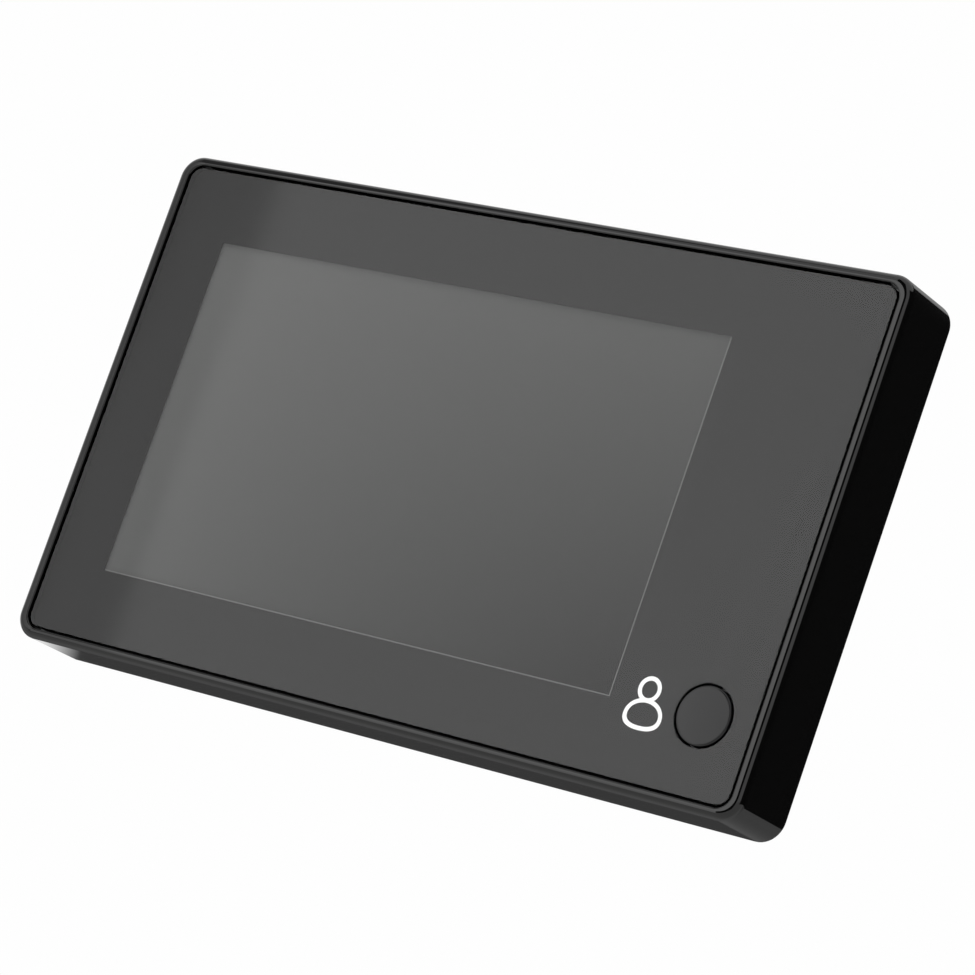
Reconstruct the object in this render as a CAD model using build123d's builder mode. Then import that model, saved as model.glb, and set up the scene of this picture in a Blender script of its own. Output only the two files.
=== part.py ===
from build123d import *
import os

# Indoor monitor of a peephole door camera, with the steel bracket that holds it on the door.
# Lengths are in millimetres. X runs right as the viewer sees it, Y runs from the room towards
# the door and Z runs up. The origin is the centre of the barrel bore in the door bracket, on
# the face that lies against the door. Names ending in _y are planes along the depth.

# Shared clearances and the overrun of cuts
overrun = 0.5
fit_gap = 0.1
slide_gap = 0.06
port_gap = 0.3
seat_gap = 0.3

# Front housing
housing_width = 134.0
housing_height = 79.6
housing_depth = 12.6
housing_corner = 3.65
housing_wall = 1.6
front_round = 1.1
back_round = 0.4
side_rim = 1.95
top_rim = 1.5
rim_inner_round = 0.3
pocket_corner = 2.4
ledge_thickness = 1.2
door_gap = 0.5

# Window panel and the layers behind it
panel_recess = 0.25
panel_seam = 0.35
panel_thickness = 1.05
panel_edge_round = 0.12
film_thickness = 0.15
tape_thickness = 0.2
tape_inset = 0.4
foam_thickness = 0.3
foam_width = 1.6

# Screen: margins of the picture inside the window, and the module's borders round the picture
screen_margin_left = 9.87
screen_margin_right = 24.49
screen_margin_high = 10.96
screen_margin_low = 11.08
lcd_border_left = 4.47
lcd_border_right = 5.99
lcd_border_high = 4.21
lcd_border_low = 9.13
lcd_depth = 2.9
lcd_sheet = 0.3
cell_depth = 1.2
flex_width = 20.0
flex_thickness = 0.2
flex_inset = 12.2
flex_bend = 0.8
flex_drop = 1.0
flex_rise = 5.6
flex_board_gap = 0.3
connector_margin = 2.0
connector_height = 4.0
connector_depth = 1.5
connector_bite = 1.2

# View button
button_side_inset = 10.4
button_low_inset = 13.3
button_hole = 9.2
button_radius = 4.35
button_proud = 0.12
button_edge_round = 0.3
button_travel = 0.4
flange_radius = 5.3
flange_thickness = 0.7
switch_size = 6.2
switch_height = 1.0
switch_floor = 0.2
stem_radius = 1.25

# Housing posts and their screws
post_inset = 4.8
post_radius = 2.3
pillar_depth = 2.4
head_sink = 2.2
head_radius = 1.9
head_height = 1.1
shank_radius = 1.0
shank_length = 5.6
slot_width = 0.45
slot_depth_share = 0.5
slot_reach_share = 0.62
head_chamfer_share = 0.3

# Main board, an L with a tongue for the ribbon socket
board_gap = 0.45
board_thickness = 1.0
board_edge_gap = 0.8
board_strip_height = 16.9
board_leg_margin = 2.0
board_low_gap = 2.0
board_tongue_side = 0.8
board_tongue_under = 5.3
board_tongue_over = 3.3
board_corner = 1.0
board_post_left_inset = 24.6
board_post_card_gap = 22.0
board_post_screen_gap = 3.8
board_post_side_inset = 3.2
board_post_high_inset = 2.5
board_post_low_inset = 2.7
board_post_radius = 2.2
board_head_radius = 1.6
board_head_height = 0.9
board_shank_radius = 0.8
board_shank_length = 2.9

# Chips and other parts soldered to the board
processor_z = 6.0
processor_size = 12.0
processor_height = 1.1
memory_z = -9.0
memory_spacing = 12.0
memory_width = 8.0
memory_length = 7.0
memory_height = 0.9
coil_recess_gap = 6.2
coil_side_inset = 7.1
coil_drop = 2.0
coil_size = 5.0
coil_height = 2.4
coil_corner = 0.9
capacitor_gap = 2.8
capacitor_pitch = 4.0
capacitor_width = 2.0
capacitor_length = 1.2
capacitor_height = 0.9

# Rear cover
cover_thickness = 1.6
cover_edge_round = 0.3
recess_width = 62.0
recess_depth = 4.7
recess_floor = 1.3
recess_wall = 1.3
recess_corner = 2.0
grille_hole = 0.7
grille_pitch = 2.6
grille_rings = 2
grille_sides = 6
pinhole_radius = 0.8
label_recess_gap = 3.7
label_side_inset = 7.0
label_height = 30.0
label_z = -4.0
label_sink = 0.2
label_corner = 1.0
bumper_length = 16.0
bumper_width = 3.2
bumper_thickness = 0.45
bumper_post_gap = 15.2
bumper_inset = 4.4
bumper_sink = 0.15

# Hooks of the rear cover and the tabs of the bracket that they hang on
hook_height = 7.0
hook_end_gap = 2.5
hook_clearance = 0.15
hook_side_gap = 0.6
hook_round = 0.5
hook_sink = 0.4
lift_travel = 8.0
lift_room = 1.0

# Door bracket
bracket_sheet = 1.2
bracket_margin = 21.8
bracket_corner = 3.0
tab_reach = 6.3
tab_side_gap = 1.5
tab_gap = 2.6
tab_over = 0.3
tab_under = 1.5
tab_bend = 0.4
bracket_edge_round = 0.25
hang_gap = 0.05
lip_width = 30.0
lip_reach = 4.5
bore_radius = 7.2
bolt_spacing_x = 30.0
bolt_end_gap = 6.5
bolt_radius = 1.8

# Battery, its bay and its door
battery_depth = 5.6
battery_side_gap = 1.9
battery_recess_gap = 2.2
battery_low_gap = 7.2
battery_board_gap = 3.5
battery_round = 1.6
battery_foam_inset = 1.5
bay_wall = 1.0
bay_depth = 5.2
door_lip = 1.4
door_flange = 0.8
door_inset = 0.5
door_corner = 1.5
door_edge_round = 0.2
door_gap_side = 0.15
door_tongue_width = 12.0
door_tongue_thickness = 0.4
door_tongue_reach = 1.2
door_ear_inset = 5.0
door_ear_width = 7.0
door_ear_rise = 7.0
door_ear_screw_drop = 3.4
door_post_radius = 2.0
door_post_depth = 3.4
door_grip_count = 5
door_grip_pitch = 1.6
door_grip_width = 14.0
door_grip_height = 0.7
door_grip_sink = 0.3

# Battery lead and its connector
lead_radius = 0.55
lead_spacing = 2.4
plug_width = 8.0
plug_height = 4.6
plug_depth = 3.2
plug_side_inset = 6.4
plug_board_inset = 0.9
notch_margin = 1.0

# Speaker
speaker_x = -12.0
speaker_drop = 11.4
speaker_radius = 7.5
speaker_rim = 1.3
speaker_rim_depth = 0.8
basket_depth = 1.3
magnet_radius = 4.2
magnet_depth = 1.3
cone_sheet = 0.25
cone_dome_radius = 2.6
gasket_thickness = 0.4
speaker_lead_radius = 0.4
speaker_lead_spread = 1.8
speaker_lead_reach = 3.4
speaker_lead_bend = 0.9

# Ports on the left side: charging socket and charge lamp
usb_drop = 12.2
usb_width = 7.6
usb_height = 2.7
usb_length = 5.8
usb_sheet = 0.3
usb_inset = 0.7
usb_corner = 0.6
usb_tongue_thickness = 0.6
usb_tongue_short = 0.8
usb_back = 1.2
port_corner = 1.0
pipe_radius = 0.8
pipe_rise = 0.7
pipe_drop = 18.2
pipe_flat = 0.1
lamp_width = 1.6
lamp_height = 1.2
lamp_gap = 0.2
lamp_length = 2.4

# Ports along the top: memory card and power switch
card_knob_gap = 15.0
card_width = 11.0
card_length = 15.0
card_thickness = 0.7
card_corner = 0.8
card_notch = 0.9
card_notch_length = 6.0
card_socket_wall = 1.3
card_socket_height = 1.7
card_socket_short = 2.0
card_rise = 0.35
card_top_inset = 0.4
card_slot_gap = 0.25
knob_side_inset = 18.0
knob_travel = 2.0
knob_width = 3.0
knob_depth = 2.0
knob_height = 1.2
knob_sink = 0.25
knob_stem_width = 1.6
knob_stem_depth = 1.0
knob_grooves = 3
knob_groove_width = 0.25
knob_groove_pitch = 0.75
power_body_width = 8.6
power_body_height = 3.6
power_body_depth = 2.6
power_body_inset = 0.6

# Reset switch
reset_side_inset = 9.0
reset_drop = 14.8
reset_size = 3.6
reset_height = 2.0
reset_stem_radius = 0.6
reset_stem_length = 2.6
reset_travel = 0.3

# Ribbon socket for the camera's flat cable
ribbon_x = 12.8
ribbon_rise = 4.5
ribbon_width = 16.0
ribbon_height = 4.4
ribbon_depth = 2.0
ribbon_end = 0.8
ribbon_mouth = 0.4
ribbon_mouth_length = 2.9
latch_height = 2.1
latch_thickness = 0.65
latch_gap = 0.08
latch_inset = 0.1
latch_slot_margin = 0.6
latch_round_share = 0.49

# Planes along the depth, worked out from the door to the room and back
cover_back_y = -door_gap
rim_y = cover_back_y - housing_depth
panel_front_y = rim_y + panel_recess
film_front_y = panel_front_y + panel_thickness
film_back_y = film_front_y + film_thickness
ledge_front_y = film_back_y + tape_thickness
ledge_back_y = ledge_front_y + ledge_thickness
lcd_front_y = film_back_y + foam_thickness
lcd_back_y = lcd_front_y + lcd_depth
board_front_y = lcd_back_y + board_gap
board_back_y = board_front_y + board_thickness
cover_front_y = cover_back_y - cover_thickness
recess_floor_y = cover_back_y - recess_depth
recess_inner_y = recess_floor_y - recess_floor

# Half sizes and edges that several pieces share
pocket_half_x = housing_width / 2 - side_rim
pocket_half_z = housing_height / 2 - top_rim
cavity_half_x = housing_width / 2 - housing_wall
cavity_half_z = housing_height / 2 - housing_wall
cavity_corner = housing_corner - housing_wall
panel_half_x = pocket_half_x - panel_seam
panel_half_z = pocket_half_z - panel_seam
screen_left = -panel_half_x + screen_margin_left
screen_right = panel_half_x - screen_margin_right
screen_low = -panel_half_z + screen_margin_low
screen_high = panel_half_z - screen_margin_high
lcd_left = screen_left - lcd_border_left
lcd_right = screen_right + lcd_border_right
lcd_low = screen_low - lcd_border_low
lcd_high = screen_high + lcd_border_high
bracket_height = housing_height - 2 * bracket_margin
hook_spacing = bracket_height - hook_height - 2 * hook_end_gap
bolt_spacing_z = bracket_height - 2 * bolt_end_gap
recess_half = recess_width / 2
recess_outer = recess_half + recess_wall
recess_high = bracket_height / 2 + hang_gap
recess_low = -bracket_height / 2 - lift_travel - lift_room
bracket_web_x = recess_half - tab_side_gap - tab_reach

# Edges of the main board, the battery and the ribbon socket
board_high = cavity_half_z - board_edge_gap
board_half_x = cavity_half_x - board_edge_gap
board_strip_low = board_high - board_strip_height
board_leg_low = -cavity_half_z + board_low_gap
flex_x = lcd_right - flex_inset
board_leg_left = flex_x - flex_width / 2 - connector_margin - board_leg_margin
ribbon_z = recess_low + ribbon_rise
ribbon_left = ribbon_x - ribbon_width / 2
ribbon_right = ribbon_x + ribbon_width / 2
ribbon_low = ribbon_z - ribbon_height / 2
ribbon_high = ribbon_z + ribbon_height / 2
battery_left = -cavity_half_x + battery_side_gap
battery_right = -recess_outer - battery_recess_gap
battery_low = -cavity_half_z + battery_low_gap
battery_high = board_strip_low - battery_board_gap
battery_x = (battery_left + battery_right) / 2
battery_z = (battery_low + battery_high) / 2

# Places of the smaller pieces, each from the edge that it keeps to
button_x = housing_width / 2 - button_side_inset
button_z = -housing_height / 2 + button_low_inset
post_x = housing_width / 2 - post_inset
post_z = housing_height / 2 - post_inset
knob_x = housing_width / 2 - knob_side_inset
card_x = knob_x - card_knob_gap
reset_x = housing_width / 2 - reset_side_inset
reset_z = housing_height / 2 - reset_drop
usb_z = housing_height / 2 - usb_drop
pipe_z = housing_height / 2 - pipe_drop
speaker_z = housing_height / 2 - speaker_drop
door_ear_x = battery_left + door_ear_inset
plug_x = battery_right - plug_side_inset
plug_low = board_strip_low + plug_board_inset
lead_places = [plug_x - lead_spacing / 2, plug_x + lead_spacing / 2]
bumper_x = post_x - bumper_post_gap
bumper_z = housing_height / 2 - bumper_inset
label_left = recess_outer + label_recess_gap
label_right = housing_width / 2 - label_side_inset
chip_x = (recess_outer + board_half_x) / 2
memory_places = [(chip_x + side * memory_spacing / 2, memory_z) for side in (-1, 1)]
coil_z = board_strip_low - coil_drop
coil_places = [(recess_outer + coil_recess_gap, coil_z), (board_half_x - coil_side_inset, coil_z)]
capacitor_rows = [
    processor_z - processor_size / 2 - capacitor_gap,
    memory_z - memory_length / 2 - capacitor_gap,
]
capacitor_places = [(chip_x + step * capacitor_pitch, z) for step in (-1, 0, 1) for z in capacitor_rows]
board_post_high = board_high - board_post_high_inset
board_post_places = [
    (-board_half_x + board_post_left_inset, board_post_high),
    (card_x - board_post_card_gap, board_post_high),
    (lcd_right + board_post_screen_gap, board_leg_low + board_post_low_inset),
    (board_half_x - board_post_side_inset, capacitor_rows[0]),
]


def room_plane(y):
    """The plane at depth y that faces the room: its own x is X and its own y is Z."""
    return Plane.XZ.offset(-y)


def slab(x_low, x_high, z_low, z_high, y_front, y_back, corner=0, mode=Mode.ADD):
    """Add or cut a plate that lies square to the depth, with rounded corners if asked."""
    with BuildSketch(room_plane(y_back)) as outline:
        with Locations(((x_low + x_high) / 2, (z_low + z_high) / 2)):
            if corner > 0:
                RectangleRounded(x_high - x_low, z_high - z_low, corner)
            else:
                Rectangle(x_high - x_low, z_high - z_low)
    extrude(outline.sketch, amount=y_back - y_front, mode=mode)


def centred_slab(x, z, width, height, y_front, y_back, corner=0, mode=Mode.ADD):
    """The same plate, given by its centre and its size."""
    slab(x - width / 2, x + width / 2, z - height / 2, z + height / 2, y_front, y_back, corner, mode)


def disc(x, z, radius, y_front, y_back, mode=Mode.ADD):
    """Add or cut a round plate or hole along the depth."""
    with BuildSketch(room_plane(y_back)) as outline:
        with Locations((x, z)):
            Circle(radius)
    extrude(outline.sketch, amount=y_back - y_front, mode=mode)


def turned(points, x, z, mode=Mode.ADD):
    """Revolve an outline of (radius, y) points about the line along Y through (x, z)."""
    with BuildSketch(Plane.XY.offset(z)) as section:
        with BuildLine():
            Polyline(*[(x + radius, y) for radius, y in points], close=True)
        make_face()
    revolve(section.sketch, axis=Axis((x, 0, z), (0, 1, 0)), mode=mode)


def screw(x, z, seat_y, radius, height, shank, length):
    """A pan head screw driven towards the room from its seat, with a cross recess."""
    chamfer_size = radius * head_chamfer_share
    head_y = seat_y + height
    turned(
        [
            (0, seat_y - length),
            (shank, seat_y - length),
            (shank, seat_y),
            (radius, seat_y),
            (radius, head_y - chamfer_size),
            (radius - chamfer_size, head_y),
            (0, head_y),
        ],
        x,
        z,
    )
    slot_y = head_y - height * slot_depth_share
    slot_length = 2 * radius * slot_reach_share
    centred_slab(x, z, slot_length, slot_width, slot_y, head_y + overrun, 0, Mode.SUBTRACT)
    centred_slab(x, z, slot_width, slot_length, slot_y, head_y + overrun, 0, Mode.SUBTRACT)


def write(piece, name):
    """Label a finished piece and write it to its own file."""
    piece.part.label = name
    export_step(piece.part, f"parts/{name}.step")


os.makedirs("parts", exist_ok=True)

post_places = [(sx * post_x, sz * post_z) for sx in (-1, 1) for sz in (-1, 1)]
pillar_front_y = cover_front_y - pillar_depth
post_back_y = pillar_front_y - fit_gap
screw_seat_y = cover_back_y - head_sink
usb_y = board_back_y + usb_height / 2
card_front_y = board_back_y + card_rise
pipe_y = board_back_y + pipe_rise
knob_y = board_back_y + power_body_depth / 2
housing_top_z = housing_height / 2
knob_top_z = housing_top_z - knob_sink
knob_low_z = knob_top_z - knob_height
flange_front_y = ledge_back_y + slide_gap
flange_back_y = flange_front_y + flange_thickness

# Front housing: rim, side walls and the ledge that carries the window panel
with BuildPart() as front_housing:
    centred_slab(0, 0, housing_width, housing_height, rim_y, cover_back_y, housing_corner)
    fillet(front_housing.edges().group_by(Axis.Y)[0], front_round)
    fillet(front_housing.edges().group_by(Axis.Y)[-1], back_round)
    centred_slab(
        0, 0, 2 * pocket_half_x, 2 * pocket_half_z,
        rim_y - overrun, ledge_front_y, pocket_corner, Mode.SUBTRACT,
    )
    centred_slab(
        0, 0, 2 * cavity_half_x, 2 * cavity_half_z,
        ledge_back_y, cover_back_y + overrun, cavity_corner, Mode.SUBTRACT,
    )
    rim_face = front_housing.faces().sort_by(Axis.Y)[0]
    fillet(rim_face.inner_wires()[0].edges(), rim_inner_round)
    slab(
        lcd_left - port_gap,
        lcd_right + port_gap,
        lcd_low - port_gap,
        lcd_high + port_gap,
        ledge_front_y - overrun,
        ledge_back_y + overrun,
        0,
        Mode.SUBTRACT,
    )
    # Posts for the cover's screws stand in the corners
    for x, z in post_places:
        disc(x, z, post_radius, ledge_back_y, post_back_y)
        disc(x, z, shank_radius + slide_gap, ledge_back_y, post_back_y + overrun, Mode.SUBTRACT)
    # Short posts behind the ledge carry the main board
    for x, z in board_post_places:
        disc(x, z, board_post_radius, ledge_back_y, board_front_y)
        disc(x, z, board_shank_radius + slide_gap, ledge_back_y, board_front_y + overrun, Mode.SUBTRACT)
    # Guide hole of the view button
    disc(
        button_x,
        button_z,
        button_radius + slide_gap,
        ledge_front_y - overrun,
        ledge_back_y + overrun,
        Mode.SUBTRACT,
    )
    # Opening and lamp hole in the left wall
    with BuildSketch(Plane.YZ.offset(-housing_width / 2 - overrun)) as usb_opening:
        with Locations((usb_y, usb_z)):
            RectangleRounded(usb_height + 2 * port_gap, usb_width + 2 * port_gap, port_corner)
    extrude(usb_opening.sketch, amount=housing_wall + 2 * overrun, mode=Mode.SUBTRACT)
    with BuildSketch(Plane.YZ.offset(-housing_width / 2 - overrun)) as pipe_hole:
        with Locations((pipe_y, pipe_z)):
            Circle(pipe_radius + slide_gap)
    extrude(pipe_hole.sketch, amount=housing_wall + 2 * overrun, mode=Mode.SUBTRACT)
    # Card slot and knob slot in the top wall
    with BuildSketch(Plane.XY.offset(housing_top_z + overrun)) as top_slots:
        with Locations((card_x, card_front_y + card_thickness / 2)):
            Rectangle(card_width + 2 * card_slot_gap, card_thickness + 2 * card_slot_gap)
        with Locations((knob_x + knob_travel / 2, knob_y)):
            Rectangle(knob_width + knob_travel + 2 * card_slot_gap, knob_depth + 2 * card_slot_gap)
    extrude(top_slots.sketch, amount=-housing_wall - 2 * overrun, mode=Mode.SUBTRACT)
write(front_housing, "front_housing")

# Window panel: clear acrylic, with the button's hole
with BuildPart() as window_panel:
    centred_slab(
        0, 0, 2 * panel_half_x, 2 * panel_half_z, panel_front_y, film_front_y, pocket_corner - panel_seam
    )
    disc(
        button_x, button_z, button_hole / 2, panel_front_y - overrun, film_front_y + overrun, Mode.SUBTRACT
    )
    fillet(window_panel.edges().group_by(Axis.Y)[0], panel_edge_round)
write(window_panel, "window_panel")

# Black mask behind the panel, open over the screen
with BuildPart() as mask_film:
    centred_slab(
        0, 0, 2 * panel_half_x, 2 * panel_half_z, film_front_y, film_back_y, pocket_corner - panel_seam
    )
    slab(
        screen_left, screen_right, screen_low, screen_high,
        film_front_y - overrun, film_back_y + overrun, 0, Mode.SUBTRACT,
    )
    disc(
        button_x, button_z, button_hole / 2, film_front_y - overrun, film_back_y + overrun, Mode.SUBTRACT
    )
write(mask_film, "mask_film")

# Adhesive frame that holds the window on the housing's ledge
with BuildPart() as panel_tape:
    centred_slab(
        0,
        0,
        2 * (panel_half_x - tape_inset),
        2 * (panel_half_z - tape_inset),
        film_back_y,
        ledge_front_y,
        pocket_corner - panel_seam - tape_inset,
    )
    slab(
        lcd_left - port_gap, lcd_right + port_gap, lcd_low - port_gap, lcd_high + port_gap,
        film_back_y - overrun, ledge_front_y + overrun, 0, Mode.SUBTRACT,
    )
    disc(
        button_x, button_z, flange_radius, film_back_y - overrun, ledge_front_y + overrun, Mode.SUBTRACT
    )
write(panel_tape, "panel_tape")

# Foam frame between the mask and the screen's glass
with BuildPart() as screen_foam:
    slab(
        screen_left - fit_gap - foam_width, screen_right + fit_gap + foam_width,
        screen_low - fit_gap - foam_width, screen_high + fit_gap + foam_width,
        film_back_y, lcd_front_y,
    )
    slab(
        screen_left - fit_gap, screen_right + fit_gap, screen_low - fit_gap, screen_high + fit_gap,
        film_back_y - overrun, lcd_front_y + overrun, 0, Mode.SUBTRACT,
    )
write(screen_foam, "screen_foam")

# Screen: a pressed steel tray with the backlight and the glass stacked in it
tray_floor_y = lcd_back_y - lcd_sheet
cell_back_y = lcd_front_y + cell_depth
with BuildPart() as lcd_tray:
    slab(lcd_left, lcd_right, lcd_low, lcd_high, lcd_front_y, lcd_back_y)
    slab(
        lcd_left + lcd_sheet, lcd_right - lcd_sheet, lcd_low + lcd_sheet, lcd_high - lcd_sheet,
        lcd_front_y - overrun, tray_floor_y, 0, Mode.SUBTRACT,
    )
write(lcd_tray, "lcd_tray")

with BuildPart() as backlight:
    slab(
        lcd_left + lcd_sheet + fit_gap, lcd_right - lcd_sheet - fit_gap,
        lcd_low + lcd_sheet + fit_gap, lcd_high - lcd_sheet - fit_gap,
        cell_back_y, tray_floor_y,
    )
write(backlight, "backlight")

with BuildPart() as lcd_cell:
    slab(
        lcd_left + lcd_sheet + fit_gap, lcd_right - lcd_sheet - fit_gap,
        lcd_low + lcd_sheet + fit_gap, lcd_high - lcd_sheet - fit_gap,
        lcd_front_y, cell_back_y,
    )
write(lcd_cell, "lcd_cell")

# Flat cable from the screen, round the board's lower edge to its connector
flex_start_y = (ledge_back_y + lcd_back_y) / 2
flex_end_y = board_back_y + flex_board_gap
flex_low_z = lcd_low - flex_drop
flex_end_z = flex_low_z + flex_rise
with BuildPart() as lcd_flex:
    with BuildLine(Plane.YZ.offset(flex_x)) as flex_path:
        FilletPolyline(
            (flex_start_y, lcd_low),
            (flex_start_y, flex_low_z),
            (flex_end_y, flex_low_z),
            (flex_end_y, flex_end_z),
            radius=flex_bend,
        )
    with BuildSketch(Plane((flex_x, flex_start_y, lcd_low), x_dir=(1, 0, 0), z_dir=(0, 0, -1))):
        Rectangle(flex_width, flex_thickness)
    sweep()
write(lcd_flex, "lcd_flex")

with BuildPart() as lcd_connector:
    slab(
        flex_x - flex_width / 2 - connector_margin, flex_x + flex_width / 2 + connector_margin,
        flex_end_z - connector_bite, flex_end_z - connector_bite + connector_height,
        board_back_y, board_back_y + connector_depth,
    )
    slab(
        flex_x - flex_width / 2 - fit_gap, flex_x + flex_width / 2 + fit_gap,
        flex_end_z - connector_bite - overrun, flex_end_z + fit_gap,
        flex_end_y - flex_thickness / 2 - slide_gap, flex_end_y + flex_thickness / 2 + slide_gap,
        0, Mode.SUBTRACT,
    )
write(lcd_connector, "lcd_connector")

# View button: cap with a retaining flange behind the ledge
cap_front_y = panel_front_y - button_proud
with BuildPart() as view_button:
    disc(button_x, button_z, button_radius, cap_front_y, flange_back_y)
    fillet(view_button.edges().group_by(Axis.Y)[0], button_edge_round)
    disc(button_x, button_z, flange_radius, flange_front_y, flange_back_y)
write(view_button, "view_button")

switch_front_y = board_front_y - switch_height
with BuildPart() as button_stem:
    disc(
        button_x, button_z, stem_radius, flange_back_y,
        board_front_y - switch_floor - button_travel - slide_gap,
    )
write(button_stem, "button_stem")

with BuildPart() as button_switch:
    centred_slab(button_x, button_z, switch_size, switch_size, switch_front_y, board_front_y)
    disc(
        button_x, button_z, stem_radius + slide_gap,
        switch_front_y - overrun, board_front_y - switch_floor, Mode.SUBTRACT,
    )
write(button_switch, "button_switch")

# Main board
board_notch = 2 * (post_radius + board_edge_gap)
with BuildPart() as main_board:
    slab(
        -board_half_x, board_half_x, board_strip_low, board_high,
        board_front_y, board_back_y, board_corner,
    )
    slab(
        board_leg_left, board_half_x, board_leg_low, board_high,
        board_front_y, board_back_y, board_corner,
    )
    slab(
        ribbon_left - board_tongue_side, board_leg_left + board_corner + overrun,
        ribbon_low - board_tongue_under, ribbon_high + board_tongue_over,
        board_front_y, board_back_y, board_corner,
    )
    for x, z in post_places:
        centred_slab(
            x, z, board_notch, board_notch,
            board_front_y - overrun, board_back_y + overrun, 0, Mode.SUBTRACT,
        )
    for x, z in board_post_places:
        disc(
            x, z, board_shank_radius + slide_gap,
            board_front_y - overrun, board_back_y + overrun, Mode.SUBTRACT,
        )
write(main_board, "main_board")

with BuildPart() as board_screws:
    for x, z in board_post_places:
        screw(
            x, z, board_back_y, board_head_radius, board_head_height,
            board_shank_radius, board_shank_length,
        )
write(board_screws, "board_screws")

with BuildPart() as processor_chip:
    centred_slab(
        chip_x, processor_z, processor_size, processor_size,
        board_back_y, board_back_y + processor_height,
    )
write(processor_chip, "processor_chip")

with BuildPart() as memory_chips:
    for x, z in memory_places:
        centred_slab(x, z, memory_width, memory_length, board_back_y, board_back_y + memory_height)
write(memory_chips, "memory_chips")

with BuildPart() as power_coils:
    for x, z in coil_places:
        centred_slab(x, z, coil_size, coil_size, board_back_y, board_back_y + coil_height, coil_corner)
write(power_coils, "power_coils")

with BuildPart() as board_capacitors:
    for x, z in capacitor_places:
        centred_slab(
            x, z, capacitor_width, capacitor_length, board_back_y, board_back_y + capacitor_height
        )
write(board_capacitors, "board_capacitors")

# Depth of the battery, and the edges of its door
battery_front_y = lcd_back_y + board_gap
battery_back_y = battery_front_y + battery_depth
door_half_x = (battery_right - battery_left) / 2 - door_inset
door_half_z = (battery_high - battery_low) / 2 - door_inset
door_high = battery_z + door_half_z
door_low = battery_z - door_half_z
door_step_y = cover_back_y - door_flange
ear_high = door_high + door_ear_rise
ear_screw_z = ear_high - door_ear_screw_drop
tongue_back_y = door_step_y + door_tongue_thickness
door_screw_seat_y = cover_back_y - board_head_height
door_post_front_y = cover_front_y - door_post_depth


def door_outline(grow, y_front, y_back, mode):
    """The battery door's flange with its screw ear, grown by a clearance."""
    slab(
        battery_x - door_half_x - grow, battery_x + door_half_x + grow, door_low - grow, door_high + grow,
        y_front, y_back, door_corner + grow, mode,
    )
    slab(
        door_ear_x - door_ear_width / 2 - grow, door_ear_x + door_ear_width / 2 + grow,
        door_high - door_ear_rise, ear_high + grow, y_front, y_back, door_corner + grow, mode,
    )


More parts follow.
